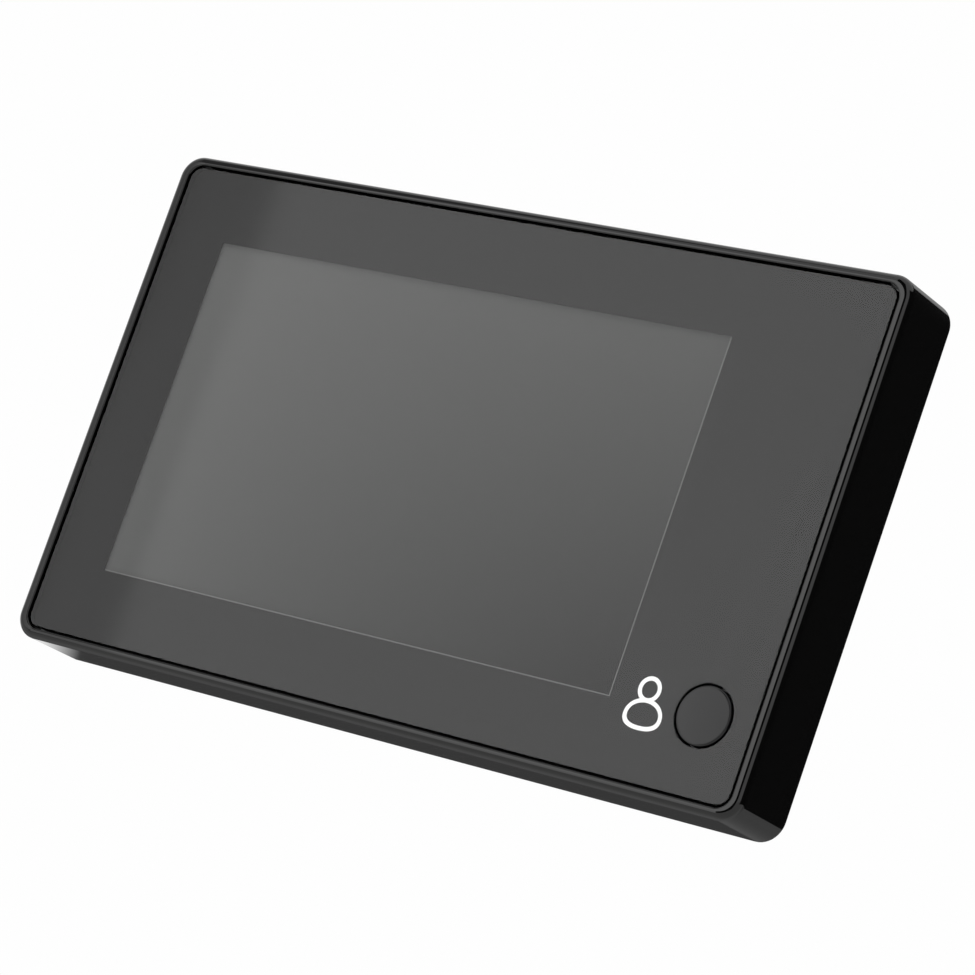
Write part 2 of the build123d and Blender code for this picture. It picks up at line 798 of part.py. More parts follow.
# Rear cover: plate, recess for the bracket, hooks, battery bay and screw pillars
with BuildPart() as rear_cover:
    centred_slab(
        0, 0, 2 * (cavity_half_x - fit_gap), 2 * (cavity_half_z - fit_gap),
        cover_front_y, cover_back_y, cavity_corner - fit_gap,
    )
    fillet(rear_cover.edges().group_by(Axis.Y)[-1], cover_edge_round)
    slab(
        -recess_half - recess_wall, recess_half + recess_wall,
        recess_low - recess_wall, recess_high + recess_wall,
        recess_inner_y, cover_back_y, recess_corner + recess_wall,
    )
    slab(
        -recess_half, recess_half, recess_low, recess_high,
        recess_floor_y, cover_back_y + overrun, recess_corner, Mode.SUBTRACT,
    )
    recess_mouth = rear_cover.faces().sort_by(Axis.Y)[-1].inner_wires()[0]
    fillet(recess_mouth.edges(), cover_edge_round)
    # Hooks stand on the recess's side walls and reach behind the bracket's tabs
    hook_front_y = -tab_gap + hook_clearance
    hook_back_y = cover_back_y - hook_sink
    hook_tip_x = bracket_web_x + hook_side_gap
    for side in (-1, 1):
        for step in (-1, 1):
            hook_x = side * (hook_tip_x + recess_half + recess_wall / 2) / 2
            hook_length = recess_half + recess_wall / 2 - hook_tip_x
            centred_slab(
                hook_x, step * hook_spacing / 2, hook_length, hook_height,
                hook_front_y, hook_back_y, hook_round,
            )
    # Bay walls round the battery, open where its leads leave
    slab(
        battery_left - seat_gap - bay_wall, battery_right + seat_gap + bay_wall,
        battery_low - seat_gap - bay_wall, battery_high + seat_gap + bay_wall,
        cover_front_y - bay_depth, cover_front_y,
    )
    slab(
        battery_left - seat_gap, battery_right + seat_gap, battery_low - seat_gap, battery_high + seat_gap,
        cover_front_y - bay_depth - overrun, cover_front_y, 0, Mode.SUBTRACT,
    )
    slab(
        min(lead_places) - notch_margin, max(lead_places) + notch_margin,
        battery_high, battery_high + seat_gap + bay_wall + overrun,
        cover_front_y - bay_depth - overrun, cover_front_y, 0, Mode.SUBTRACT,
    )
    # Door opening: a rabbet for the flange, a through opening and a groove for its tongue
    door_outline(door_gap_side, door_step_y, cover_back_y + overrun, Mode.SUBTRACT)
    slab(
        battery_x - door_half_x + door_lip, battery_x + door_half_x - door_lip,
        door_low + door_lip, door_high - door_lip,
        cover_front_y - overrun, cover_back_y + overrun, 0, Mode.SUBTRACT,
    )
    centred_slab(
        battery_x, door_low - door_tongue_reach / 2, door_tongue_width + 2 * door_gap_side,
        door_tongue_reach + 2 * door_gap_side, door_step_y, tongue_back_y + slide_gap, 0, Mode.SUBTRACT,
    )
    disc(door_ear_x, ear_screw_z, door_post_radius, door_post_front_y, door_step_y)
    disc(
        door_ear_x, ear_screw_z, board_shank_radius + slide_gap,
        door_post_front_y - overrun, door_step_y + overrun, Mode.SUBTRACT,
    )
    # Pillars that meet the housing's posts, with sunk screw heads
    for x, z in post_places:
        disc(x, z, post_radius, pillar_front_y, cover_front_y)
        disc(
            x, z, head_radius + fit_gap, screw_seat_y, cover_back_y + overrun, Mode.SUBTRACT,
        )
        disc(
            x, z, shank_radius + slide_gap, pillar_front_y - overrun, cover_back_y + overrun, Mode.SUBTRACT,
        )
    # Speaker grille, one hole ringed by hexagons of holes
    grille_turn = 360 / grille_sides
    for ring in range(grille_rings + 1):
        for spot in range(max(1, grille_sides * ring)):
            side_index = spot // max(1, ring)
            along = spot % max(1, ring)
            corner_place = Vector(ring * grille_pitch, 0).rotate(Axis.Z, grille_turn * side_index)
            next_place = Vector(ring * grille_pitch, 0).rotate(Axis.Z, grille_turn * (side_index + 1))
            place = corner_place + (next_place - corner_place) * (along / max(1, ring))
            disc(
                speaker_x + place.X, speaker_z + place.Y, grille_hole,
                cover_front_y - overrun, cover_back_y + overrun, Mode.SUBTRACT,
            )
    disc(
        reset_x, reset_z, pinhole_radius, cover_front_y - overrun, cover_back_y + overrun, Mode.SUBTRACT
    )
    # Slot in the recess's floor for the ribbon socket
    centred_slab(
        ribbon_x, ribbon_z, ribbon_width + 2 * latch_slot_margin, ribbon_height + 2 * latch_slot_margin,
        recess_inner_y - overrun, recess_floor_y + overrun, 0, Mode.SUBTRACT,
    )
    # Bare sunk field and the seats of the rubber bumpers
    slab(
        label_left, label_right, label_z - label_height / 2, label_z + label_height / 2,
        cover_back_y - label_sink, cover_back_y + overrun, label_corner, Mode.SUBTRACT,
    )
    for side in (-1, 1):
        for step in (-1, 1):
            centred_slab(
                side * bumper_x, step * bumper_z, bumper_length + 2 * fit_gap, bumper_width + 2 * fit_gap,
                cover_back_y - bumper_sink, cover_back_y + overrun,
                bumper_width / 2, Mode.SUBTRACT,
            )
write(rear_cover, "rear_cover")

with BuildPart() as housing_screws:
    for x, z in post_places:
        screw(x, z, screw_seat_y, head_radius, head_height, shank_radius, shank_length)
write(housing_screws, "housing_screws")

# Rubber bumpers between the cover and the door
with BuildPart() as rear_bumpers:
    for side in (-1, 1):
        for step in (-1, 1):
            centred_slab(
                side * bumper_x, step * bumper_z, bumper_length, bumper_width,
                cover_back_y - bumper_sink, cover_back_y - bumper_sink + bumper_thickness,
                bumper_width / 2 - fit_gap,
            )
write(rear_bumpers, "rear_bumpers")

# Battery and what holds it
with BuildPart() as battery_pack:
    slab(battery_left, battery_right, battery_low, battery_high, battery_front_y, battery_back_y)
    fillet(battery_pack.edges().filter_by(Axis.Z), battery_round)
write(battery_pack, "battery_pack")

with BuildPart() as battery_foam:
    slab(
        battery_left + battery_foam_inset, battery_right - battery_foam_inset,
        battery_low + battery_foam_inset, battery_high - battery_foam_inset,
        lcd_back_y, battery_front_y,
    )
write(battery_foam, "battery_foam")

with BuildPart() as battery_door:
    door_outline(0, door_step_y, cover_back_y, Mode.ADD)
    fillet(battery_door.edges().group_by(Axis.Y)[-1], door_edge_round)
    slab(
        battery_x - door_half_x + door_lip + door_gap_side,
        battery_x + door_half_x - door_lip - door_gap_side,
        door_low + door_lip + door_gap_side, door_high - door_lip - door_gap_side,
        cover_front_y, door_step_y,
    )
    centred_slab(
        battery_x, door_low - door_tongue_reach / 2 + door_corner / 2, door_tongue_width,
        door_tongue_reach + door_corner, door_step_y, tongue_back_y,
    )
    disc(
        door_ear_x, ear_screw_z, board_head_radius + fit_gap,
        door_screw_seat_y, cover_back_y + overrun, Mode.SUBTRACT,
    )
    disc(
        door_ear_x, ear_screw_z, board_shank_radius + slide_gap,
        door_step_y - overrun, cover_back_y + overrun, Mode.SUBTRACT,
    )
    for index in range(door_grip_count):
        centred_slab(
            battery_x, door_high - door_ear_rise - index * door_grip_pitch, door_grip_width,
            door_grip_height, cover_back_y - door_grip_sink, cover_back_y + overrun, 0, Mode.SUBTRACT,
        )
write(battery_door, "battery_door")

with BuildPart() as battery_door_screw:
    screw(
        door_ear_x, ear_screw_z, door_step_y, board_head_radius, board_head_height,
        board_shank_radius, board_shank_length,
    )
write(battery_door_screw, "battery_door_screw")

with BuildPart() as battery_connector:
    slab(
        plug_x - plug_width / 2, plug_x + plug_width / 2, plug_low, plug_low + plug_height,
        board_back_y, board_back_y + plug_depth,
    )
write(battery_connector, "battery_connector")

lead_y = board_back_y + plug_depth / 2
with BuildPart() as battery_leads:
    for lead_x in lead_places:
        with BuildSketch(Plane.XY.offset(battery_high)) as lead_section:
            with Locations((lead_x, lead_y)):
                Circle(lead_radius)
        extrude(lead_section.sketch, amount=plug_low - battery_high)
write(battery_leads, "battery_leads")

# Speaker: gasket on the cover, basket with its magnet, and the cone
speaker_back_y = cover_front_y - gasket_thickness
rim_front_y = speaker_back_y - speaker_rim_depth
basket_front_y = rim_front_y - basket_depth
magnet_front_y = basket_front_y - magnet_depth
cone_radius = speaker_radius - speaker_rim
with BuildPart() as speaker_gasket:
    disc(speaker_x, speaker_z, speaker_radius, speaker_back_y, cover_front_y)
    disc(
        speaker_x, speaker_z, cone_radius, speaker_back_y - overrun, cover_front_y + overrun, Mode.SUBTRACT
    )
write(speaker_gasket, "speaker_gasket")

with BuildPart() as speaker_frame:
    turned(
        [
            (0, magnet_front_y),
            (magnet_radius, magnet_front_y),
            (magnet_radius, basket_front_y),
            (cone_radius, rim_front_y),
            (speaker_radius, rim_front_y),
            (speaker_radius, speaker_back_y),
            (cone_radius, speaker_back_y),
            (cone_radius, rim_front_y + cone_sheet),
            (magnet_radius, basket_front_y + cone_sheet),
            (0, basket_front_y + cone_sheet),
        ],
        speaker_x,
        speaker_z,
    )
write(speaker_frame, "speaker_frame")

cone_edge_y = speaker_back_y - cone_sheet
with BuildPart() as speaker_cone:
    turned(
        [
            (0, rim_front_y),
            (cone_dome_radius, rim_front_y - cone_sheet),
            (cone_radius - slide_gap, cone_edge_y),
            (cone_radius - slide_gap, speaker_back_y),
            (cone_dome_radius, rim_front_y),
            (0, rim_front_y + cone_sheet),
        ],
        speaker_x,
        speaker_z,
    )
write(speaker_cone, "speaker_cone")

with BuildPart() as speaker_leads:
    for spread in (-speaker_lead_spread / 2, speaker_lead_spread / 2):
        lead_start = (speaker_x - speaker_radius, rim_front_y + speaker_rim_depth / 2)
        lead_turn = (lead_start[0] - speaker_lead_reach, lead_start[1])
        with BuildLine(Plane.XY.offset(speaker_z + spread)) as lead_path:
            FilletPolyline(lead_start, lead_turn, (lead_turn[0], board_back_y), radius=speaker_lead_bend)
        with BuildSketch(Plane((*lead_start, speaker_z + spread), x_dir=(0, 1, 0), z_dir=(-1, 0, 0))):
            Circle(speaker_lead_radius)
        sweep()
write(speaker_leads, "speaker_leads")

# Charging socket in the left wall, with its contact tongue
usb_mouth_x = -housing_width / 2 + usb_inset
with BuildPart() as usb_shell:
    with BuildSketch(Plane.YZ.offset(usb_mouth_x)) as usb_section:
        with Locations((usb_y, usb_z)):
            RectangleRounded(usb_height, usb_width, usb_corner)
    extrude(usb_section.sketch, amount=usb_length)
    with BuildSketch(Plane.YZ.offset(usb_mouth_x - overrun)) as usb_inside:
        with Locations((usb_y, usb_z)):
            RectangleRounded(usb_height - 2 * usb_sheet, usb_width - 2 * usb_sheet, usb_corner - usb_sheet)
    extrude(usb_inside.sketch, amount=usb_length - usb_back + overrun, mode=Mode.SUBTRACT)
write(usb_shell, "usb_shell")

with BuildPart() as usb_tongue:
    with BuildSketch(Plane.YZ.offset(usb_mouth_x + usb_tongue_short)) as tongue_section:
        with Locations((usb_y, usb_z)):
            Rectangle(usb_tongue_thickness, usb_width - 2 * usb_sheet - 2 * usb_tongue_short)
    extrude(tongue_section.sketch, amount=usb_length - usb_back - usb_tongue_short)
write(usb_tongue, "usb_tongue")

# Charge lamp and the clear pipe that carries its light to the wall
pipe_left_x = -housing_width / 2 + pipe_flat
with BuildPart() as lamp_pipe:
    with BuildSketch(Plane.YZ.offset(pipe_left_x)) as pipe_section:
        with Locations((pipe_y, pipe_z)):
            Circle(pipe_radius)
    extrude(pipe_section.sketch, amount=-board_half_x - lamp_gap - pipe_left_x)
write(lamp_pipe, "lamp_pipe")

with BuildPart() as charge_lamp:
    slab(
        -board_half_x, -board_half_x + lamp_length, pipe_z - lamp_width / 2, pipe_z + lamp_width / 2,
        board_back_y, board_back_y + lamp_height,
    )
write(charge_lamp, "charge_lamp")

# Memory card and its socket at the top edge
card_high = housing_top_z - card_top_inset
card_low = card_high - card_length
card_back_y = card_front_y + card_thickness
socket_high = card_high - card_socket_short
with BuildPart() as memory_card:
    slab(
        card_x - card_width / 2, card_x + card_width / 2, card_low, card_high,
        card_front_y, card_back_y, card_corner,
    )
    slab(
        card_x + card_width / 2 - card_notch, card_x + card_width / 2 + overrun,
        card_low - overrun, card_low + card_notch_length,
        card_front_y - overrun, card_back_y + overrun, 0, Mode.SUBTRACT,
    )
write(memory_card, "memory_card")

with BuildPart() as card_socket:
    slab(
        card_x - card_width / 2 - card_socket_wall, card_x + card_width / 2 + card_socket_wall,
        card_low - card_socket_wall, socket_high, board_back_y, board_back_y + card_socket_height,
    )
    slab(
        card_x - card_width / 2 - slide_gap, card_x + card_width / 2 + slide_gap,
        card_low - slide_gap, socket_high + overrun,
        card_front_y - slide_gap, card_back_y + slide_gap, 0, Mode.SUBTRACT,
    )
write(card_socket, "card_socket")

# Power switch: body on the board and the knob in its slot
power_high = board_high - power_body_inset
power_x = knob_x + knob_travel / 2
with BuildPart() as power_switch_body:
    slab(
        power_x - power_body_width / 2, power_x + power_body_width / 2,
        power_high - power_body_height, power_high, board_back_y, board_back_y + power_body_depth,
    )
    slab(
        knob_x - knob_stem_width / 2 - slide_gap,
        knob_x + knob_travel + knob_stem_width / 2 + slide_gap,
        power_high - power_body_height / 2, power_high + overrun,
        knob_y - knob_stem_depth / 2 - slide_gap, knob_y + knob_stem_depth / 2 + slide_gap,
        0, Mode.SUBTRACT,
    )
write(power_switch_body, "power_switch_body")

with BuildPart() as power_switch_knob:
    centred_slab(
        knob_x, (knob_low_z + knob_top_z) / 2, knob_width, knob_height,
        knob_y - knob_depth / 2, knob_y + knob_depth / 2,
    )
    slab(
        knob_x - knob_stem_width / 2, knob_x + knob_stem_width / 2,
        power_high - power_body_height / 2 + slide_gap, knob_low_z,
        knob_y - knob_stem_depth / 2, knob_y + knob_stem_depth / 2,
    )
    for index in range(knob_grooves):
        centred_slab(
            knob_x + (index - (knob_grooves - 1) / 2) * knob_groove_pitch, knob_top_z,
            knob_groove_width, knob_groove_width,
            knob_y - knob_depth / 2 - overrun, knob_y + knob_depth / 2 + overrun, 0, Mode.SUBTRACT,
        )
write(power_switch_knob, "power_switch_knob")

# Reset switch under its pinhole
reset_back_y = board_back_y + reset_height
reset_stem_front_y = reset_back_y - reset_travel - 2 * slide_gap
with BuildPart() as reset_stem:
    disc(reset_x, reset_z, reset_stem_radius, reset_stem_front_y, reset_stem_front_y + reset_stem_length)
write(reset_stem, "reset_stem")

with BuildPart() as reset_switch:
    centred_slab(reset_x, reset_z, reset_size, reset_size, board_back_y, reset_back_y)
    disc(
        reset_x, reset_z, reset_stem_radius + slide_gap,
        reset_stem_front_y - reset_travel - slide_gap, reset_back_y + overrun, Mode.SUBTRACT,
    )
write(reset_switch, "reset_switch")

# Ribbon socket with its flip latch over the cable's mouth
ribbon_back_y = board_back_y + ribbon_depth
latch_front_y = ribbon_back_y - latch_thickness
latch_low = ribbon_high - latch_inset - latch_height
mouth_y = board_back_y + (latch_front_y - board_back_y) / 2
with BuildPart() as ribbon_socket:
    slab(ribbon_left, ribbon_right, ribbon_low, ribbon_high, board_back_y, ribbon_back_y)
    slab(
        ribbon_left + ribbon_end - latch_gap, ribbon_right - ribbon_end + latch_gap,
        latch_low - latch_gap, ribbon_high + overrun,
        latch_front_y - latch_gap, ribbon_back_y + overrun, 0, Mode.SUBTRACT,
    )
    slab(
        ribbon_left + 2 * ribbon_end, ribbon_right - 2 * ribbon_end,
        ribbon_high - ribbon_mouth_length, ribbon_high + overrun,
        mouth_y - ribbon_mouth / 2, mouth_y + ribbon_mouth / 2, 0, Mode.SUBTRACT,
    )
write(ribbon_socket, "ribbon_socket")

with BuildPart() as ribbon_latch:
    slab(
        ribbon_left + ribbon_end, ribbon_right - ribbon_end,
        latch_low, ribbon_high - latch_inset, latch_front_y, ribbon_back_y,
    )
    latch_rear_edges = ribbon_latch.edges().filter_by(Axis.X).group_by(Axis.Z)[0]
    fillet(latch_rear_edges, latch_thickness * latch_round_share)
write(ribbon_latch, "ribbon_latch")

# Door bracket: pressed plate with four stand-off tabs and a top lip
tab_step = -tab_gap - bracket_sheet
tab_tip_x = bracket_web_x + tab_reach
bracket_half_z = bracket_height / 2
with BuildPart() as door_bracket:
    centred_slab(0, 0, 2 * bracket_web_x, bracket_height, -bracket_sheet, 0, bracket_corner)
    for step in (-1, 1):
        hook_low = step * hook_spacing / 2 - hook_height / 2
        hook_high = step * hook_spacing / 2 + hook_height / 2
        tab_low = hook_low - tab_under
        tab_length = hook_high + tab_over - tab_low
        for side in (-1, 1):
            with BuildSketch(Plane.XY.offset(tab_low)) as tab_section:
                with BuildLine():
                    Polyline(
                        (side * (bracket_web_x - bracket_sheet), 0),
                        (side * bracket_web_x, 0),
                        (side * bracket_web_x, -tab_gap),
                        (side * tab_tip_x, -tab_gap),
                        (side * tab_tip_x, tab_step),
                        (side * (bracket_web_x - bracket_sheet), tab_step),
                        close=True,
                    )
                make_face()
                room_corners = tab_section.vertices().group_by(Axis.Y)[0]
                web_corners = tab_section.vertices().filter_by_position(
                    Axis.Y, -tab_gap, -tab_gap
                )
                outer_bend = room_corners.sort_by(lambda corner: abs(corner.X))[0]
                inner_bend = web_corners.sort_by(lambda corner: abs(corner.X))[0]
                fillet(outer_bend, tab_bend + bracket_sheet)
                fillet(inner_bend, tab_bend)
            extrude(tab_section.sketch, amount=tab_length)
    slab(
        -lip_width / 2, lip_width / 2, bracket_half_z - bracket_sheet, bracket_half_z,
        -lip_reach, -bracket_sheet,
    )
    disc(0, 0, bore_radius, -bracket_sheet - overrun, overrun, Mode.SUBTRACT)
    for sx in (-1, 1):
        for sz in (-1, 1):
            bolt_x = sx * bolt_spacing_x / 2
            bolt_z = sz * bolt_spacing_z / 2
            disc(bolt_x, bolt_z, bolt_radius, -bracket_sheet - overrun, overrun, Mode.SUBTRACT)
    door_face = door_bracket.faces().sort_by(Axis.Y)[-1]
    fillet(door_face.outer_wire().edges(), bracket_edge_round)
write(door_bracket, "door_bracket")
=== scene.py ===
import math

import bpy
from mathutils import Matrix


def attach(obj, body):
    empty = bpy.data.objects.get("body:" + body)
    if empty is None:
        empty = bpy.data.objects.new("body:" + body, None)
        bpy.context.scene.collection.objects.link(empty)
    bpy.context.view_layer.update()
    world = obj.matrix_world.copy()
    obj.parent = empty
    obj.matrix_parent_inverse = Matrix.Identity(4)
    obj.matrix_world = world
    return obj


# Indoor monitor of a peephole door camera on its door bracket, seen from its lower right.
# Metres, in the part's own frame: X right, Y into the door, Z up.
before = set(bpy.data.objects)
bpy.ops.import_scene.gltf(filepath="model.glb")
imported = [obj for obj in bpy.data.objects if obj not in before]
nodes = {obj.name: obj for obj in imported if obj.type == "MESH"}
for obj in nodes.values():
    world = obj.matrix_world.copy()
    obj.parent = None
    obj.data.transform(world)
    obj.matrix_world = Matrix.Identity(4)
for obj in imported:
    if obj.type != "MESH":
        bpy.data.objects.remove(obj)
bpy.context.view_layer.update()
MM = 0.001

# Patterns that the textured finishes share, sizes in mm
GRAIN_DETAIL = 3.0
PATCH_SIZE = 14.0
PATCH_DETAIL = 2.0
# A grain is this many times as wide as its relief is deep
GRAIN_TO_DEPTH = 6


def linear(code):
    """The linear colour of an sRGB hex code, with full alpha."""
    parts = [int(code[i:i + 2], 16) / 255 for i in (1, 3, 5)]
    return (*[p / 12.92 if p <= 0.04045 else ((p + 0.055) / 1.055) ** 2.4 for p in parts], 1)


def per(size_mm):
    """The texture scale at which a pattern repeats about every size_mm."""
    return 1 / (size_mm * MM)


def add(tree, kind, inputs=None, **settings):
    """Add a node with its settings; an input is given a value or is linked to a socket."""
    made = tree.nodes.new(kind)
    for name, value in settings.items():
        setattr(made, name, value)
    for name, value in (inputs or {}).items():
        if isinstance(value, bpy.types.NodeSocket):
            tree.links.new(value, made.inputs[name])
        else:
            made.inputs[name].default_value = value
    return made


def material(name):
    """A new material with an empty tree, its output and its Object coordinates."""
    made = bpy.data.materials.new(name)
    made.use_nodes = True
    tree = made.node_tree
    tree.nodes.clear()
    output = add(tree, "ShaderNodeOutputMaterial")
    where = add(tree, "ShaderNodeTexCoord").outputs["Object"]
    return made, tree, output, where


def surface(tree, output, shader):
    """Make a shader the surface of its material."""
    tree.links.new(shader.outputs[0], output.inputs["Surface"])


def textured(name, dark, pale, roughness, spread, grain, relief, metallic=0.0, stretch=(1, 1, 1), shine=0.5):
    """A finish with two close shades and a fine relief at its grain in mm, and gloss in patches."""
    made, tree, output, where = material(name)
    place = add(tree, "ShaderNodeMapping", {"Vector": where, "Scale": stretch}).outputs["Vector"]
    fine = add(
        tree, "ShaderNodeTexNoise",
        {"Vector": place, "Scale": per(grain), "Detail": GRAIN_DETAIL},
    )
    broad = add(
        tree, "ShaderNodeTexNoise",
        {"Vector": where, "Scale": per(PATCH_SIZE), "Detail": PATCH_DETAIL},
    )
    shade = add(
        tree, "ShaderNodeMix",
        {0: fine.outputs[0], 6: linear(dark), 7: linear(pale)}, data_type="RGBA",
    )
    gloss = add(
        tree, "ShaderNodeMapRange",
        {"Value": broad.outputs[0], "From Min": 0.3, "From Max": 0.7,
         "To Min": roughness - spread, "To Max": roughness + spread},
    )
    bump = add(
        tree, "ShaderNodeBump",
        {"Height": fine.outputs[0], "Strength": relief, "Distance": grain * MM / GRAIN_TO_DEPTH},
    )
    shader = add(
        tree, "ShaderNodeBsdfPrincipled",
        {"Base Color": shade.outputs[2], "Roughness": gloss.outputs[0],
         "Normal": bump.outputs[0], "Metallic": metallic, "Specular IOR Level": shine},
    )
    surface(tree, output, shader)
    return made


# Camera: the photograph's place, turn in degrees and lens in mm
CAMERA_PLACE = (0.367351, -0.495473, -0.101974)
CAMERA_TURN = (100.002, -19.0025, 33.2867)
CAMERA_LENS = 156.728
CAMERA_SENSOR = 36.0
camera_data = bpy.data.cameras.new("camera")
camera_data.sensor_width = CAMERA_SENSOR
camera_data.lens = CAMERA_LENS
camera = bpy.data.objects.new("camera", camera_data)
camera.location = CAMERA_PLACE
camera.rotation_euler = [math.radians(turn) for turn in CAMERA_TURN]
bpy.context.scene.collection.objects.link(camera)
bpy.context.scene.camera = camera
bpy.context.scene.view_settings.view_transform = "Standard"

# World: white where it is seen, directly, in gloss or through glass; an even soft grey as light
WORLD_SEEN = 1.0
WORLD_LIGHT = 0.84
world = bpy.data.worlds.new("studio")
bpy.context.scene.world = world
world.use_nodes = True
world.node_tree.nodes.clear()
rays = add(world.node_tree, "ShaderNodeLightPath")
seen = add(
    world.node_tree, "ShaderNodeMath",
    {0: rays.outputs["Is Camera Ray"], 1: rays.outputs["Is Glossy Ray"]}, operation="ADD",
)
seen = add(
    world.node_tree, "ShaderNodeMath",
    {0: seen.outputs[0], 1: rays.outputs["Is Transmission Ray"]}, operation="ADD", use_clamp=True,
)
level = add(
    world.node_tree, "ShaderNodeMapRange",
    {"Value": seen.outputs[0], "To Min": WORLD_LIGHT, "To Max": WORLD_SEEN},
)
sky = add(
    world.node_tree, "ShaderNodeBackground",
    {"Color": linear("#FEFEFE"), "Strength": level.outputs[0]},
)
add(world.node_tree, "ShaderNodeOutputWorld", {"Surface": sky.outputs[0]})

# Pale floor, well below the part
FLOOR_Z = -0.36
FLOOR_SIZE = 9
bpy.ops.mesh.primitive_plane_add(size=FLOOR_SIZE, location=(0, 0, FLOOR_Z))
floor = bpy.context.object
floor.name = "floor"
floor_finish, tree, output, where = material("matte_painted_floor")
# Rolled matte paint: an almost even off-white, mottled over lengths in mm
MOTTLE_SIZE = 400.0
mottle = add(tree, "ShaderNodeTexNoise", {"Vector": where, "Scale": per(MOTTLE_SIZE)})
paint = add(
    tree, "ShaderNodeMix",
    {0: mottle.outputs[0], 6: linear("#E9E9E8"), 7: linear("#EFEFEE")}, data_type="RGBA",
)
shader = add(tree, "ShaderNodeBsdfPrincipled", {"Base Color": paint.outputs[2], "Roughness": 0.9})
# Gloss meets an even pale floor, without the grain of its soft light
even = add(tree, "ShaderNodeEmission", {"Color": paint.outputs[2], "Strength": 0.9})
rays = add(tree, "ShaderNodeLightPath")
met = add(
    tree, "ShaderNodeMixShader",
    {0: rays.outputs["Is Glossy Ray"], 1: shader.outputs[0], 2: even.outputs[0]},
)
surface(tree, output, met)
floor.data.materials.append(floor_finish)

LAMP_DISTANCE = 1.0


def softbox(name, azimuth, elevation, width, height, radiance, in_gloss=False):
    """A soft lamp that faces the part; azimuth turns from the front towards +X, in degrees."""
    lamp = bpy.data.lights.new(name, "AREA")
    lamp.shape = "RECTANGLE"
    lamp.size = width
    lamp.size_y = height
    lamp.energy = radiance * math.pi * width * height
    made = bpy.data.objects.new(name, lamp)
    turn, rise = math.radians(azimuth), math.radians(elevation)
    made.location = (
        LAMP_DISTANCE * math.sin(turn) * math.cos(rise),
        -LAMP_DISTANCE * math.cos(turn) * math.cos(rise),
        LAMP_DISTANCE * math.sin(rise),
    )
    made.rotation_euler = (math.pi / 2 - rise, 0, turn)
    made.visible_camera = False
    made.visible_glossy = in_gloss
    bpy.context.scene.collection.objects.link(made)


# The key is what the window reflects to the camera; the others only light the shapes
softbox("key_softbox", azimuth=-35.8, elevation=-3, width=0.298, height=0.77, radiance=0.95, in_gloss=True)
softbox("top_softbox", azimuth=10, elevation=66, width=0.9, height=0.7, radiance=2.4)
softbox("back_softbox_left", azimuth=235, elevation=64, width=0.6, height=0.4, radiance=3)
softbox("back_softbox_right", azimuth=125, elevation=64, width=0.6, height=0.4, radiance=3)

# Cards: elevations in degrees, places in metres
CARD_STEPS = 180
STRAIGHT_DOWN, CARD_TOP = -90, 49
WALL_SPLIT = -4
BACK_RADIUS, FRONT_RADIUS = 1.5, 1.2
NEAR_START, NEAR_END = 0.05, 0.45


def flag(name, start, stop, radius, glow, low=STRAIGHT_DOWN, high=CARD_TOP):
    """A curved card round the part, between two azimuths and two elevations in degrees."""
    bpy.ops.object.select_all(action="DESELECT")
    bpy.ops.mesh.primitive_uv_sphere_add(
        segments=CARD_STEPS, ring_count=CARD_STEPS // 2, radius=radius,
    )
    card = bpy.context.object
    card.name = name
    bpy.ops.object.mode_set(mode="EDIT")
    bpy.ops.mesh.select_all(action="DESELECT")
    bpy.ops.mesh.select_mode(type="FACE")
    bpy.ops.object.mode_set(mode="OBJECT")
    for face in card.data.polygons:
        turn = math.degrees(math.atan2(face.center.x, -face.center.y))
        rise = math.degrees(math.asin(face.center.z / radius))
        face.select = (turn - start) % 360 >= stop - start or not low < rise < high
    bpy.ops.object.mode_set(mode="EDIT")
    bpy.ops.mesh.delete(type="FACE")
    bpy.ops.object.mode_set(mode="OBJECT")
    dress_card(card, glow)


def dress_card(card, glow, near=1.0):
    """Give a card a faint glow that gloss alone meets.

    It goes from one level to another between two places along X, each given as (place, level).
    Just behind the part it is near times as strong, which fades out along Y.
    """
    (first_x, first), (last_x, last) = glow
    cloth, tree, output, where = material(card.name + "_cloth")
    apart = add(tree, "ShaderNodeSeparateXYZ", {"Vector": where})
    level = add(
        tree, "ShaderNodeMapRange",
        {"Value": apart.outputs["X"], "From Min": first_x, "From Max": last_x,
         "To Min": first, "To Max": last},
    )
    close = add(
        tree, "ShaderNodeMapRange",
        {"Value": apart.outputs["Y"], "From Min": NEAR_START, "From Max": NEAR_END,
         "To Min": near, "To Max": 1.0},
    )
    level = add(
        tree, "ShaderNodeMath", {0: level.outputs[0], 1: close.outputs[0]}, operation="MULTIPLY",
    )
    light = add(
        tree, "ShaderNodeEmission", {"Color": linear("#FFFFFF"), "Strength": level.outputs[0]},
    )
    surface(tree, output, light)
    card.data.materials.append(cloth)
    card.visible_camera = False
    card.visible_transmission = False
    card.visible_diffuse = False
    card.visible_shadow = False


# Black behind on the right, for the right wall
flag("black_card", 45, 185, BACK_RADIUS, glow=((-1, 0.02), (1, 0.02)))
# Grey below and behind on the left, for the lower wall, with a white end at its left
flag("grey_card", 185, 262, BACK_RADIUS, glow=((-1.027, 1.26), (-1.013, 0.066)), high=WALL_SPLIT)
# Grey to pale above it
flag("back_card", 185, 215, BACK_RADIUS, glow=((-0.8, 0.2), (-0.1, 0.6)), low=WALL_SPLIT)
# Black in front, beside the key, for the dark line along the rounded rim
flag("front_card", -28, 3, FRONT_RADIUS, glow=((-1, 0.01), (1, 0.01)))
# Grey beside the key, which darkens the window's left end
flag("side_card", -80, -41.5, FRONT_RADIUS, glow=((-0.9, 0.8), (-0.8, 0.28)))
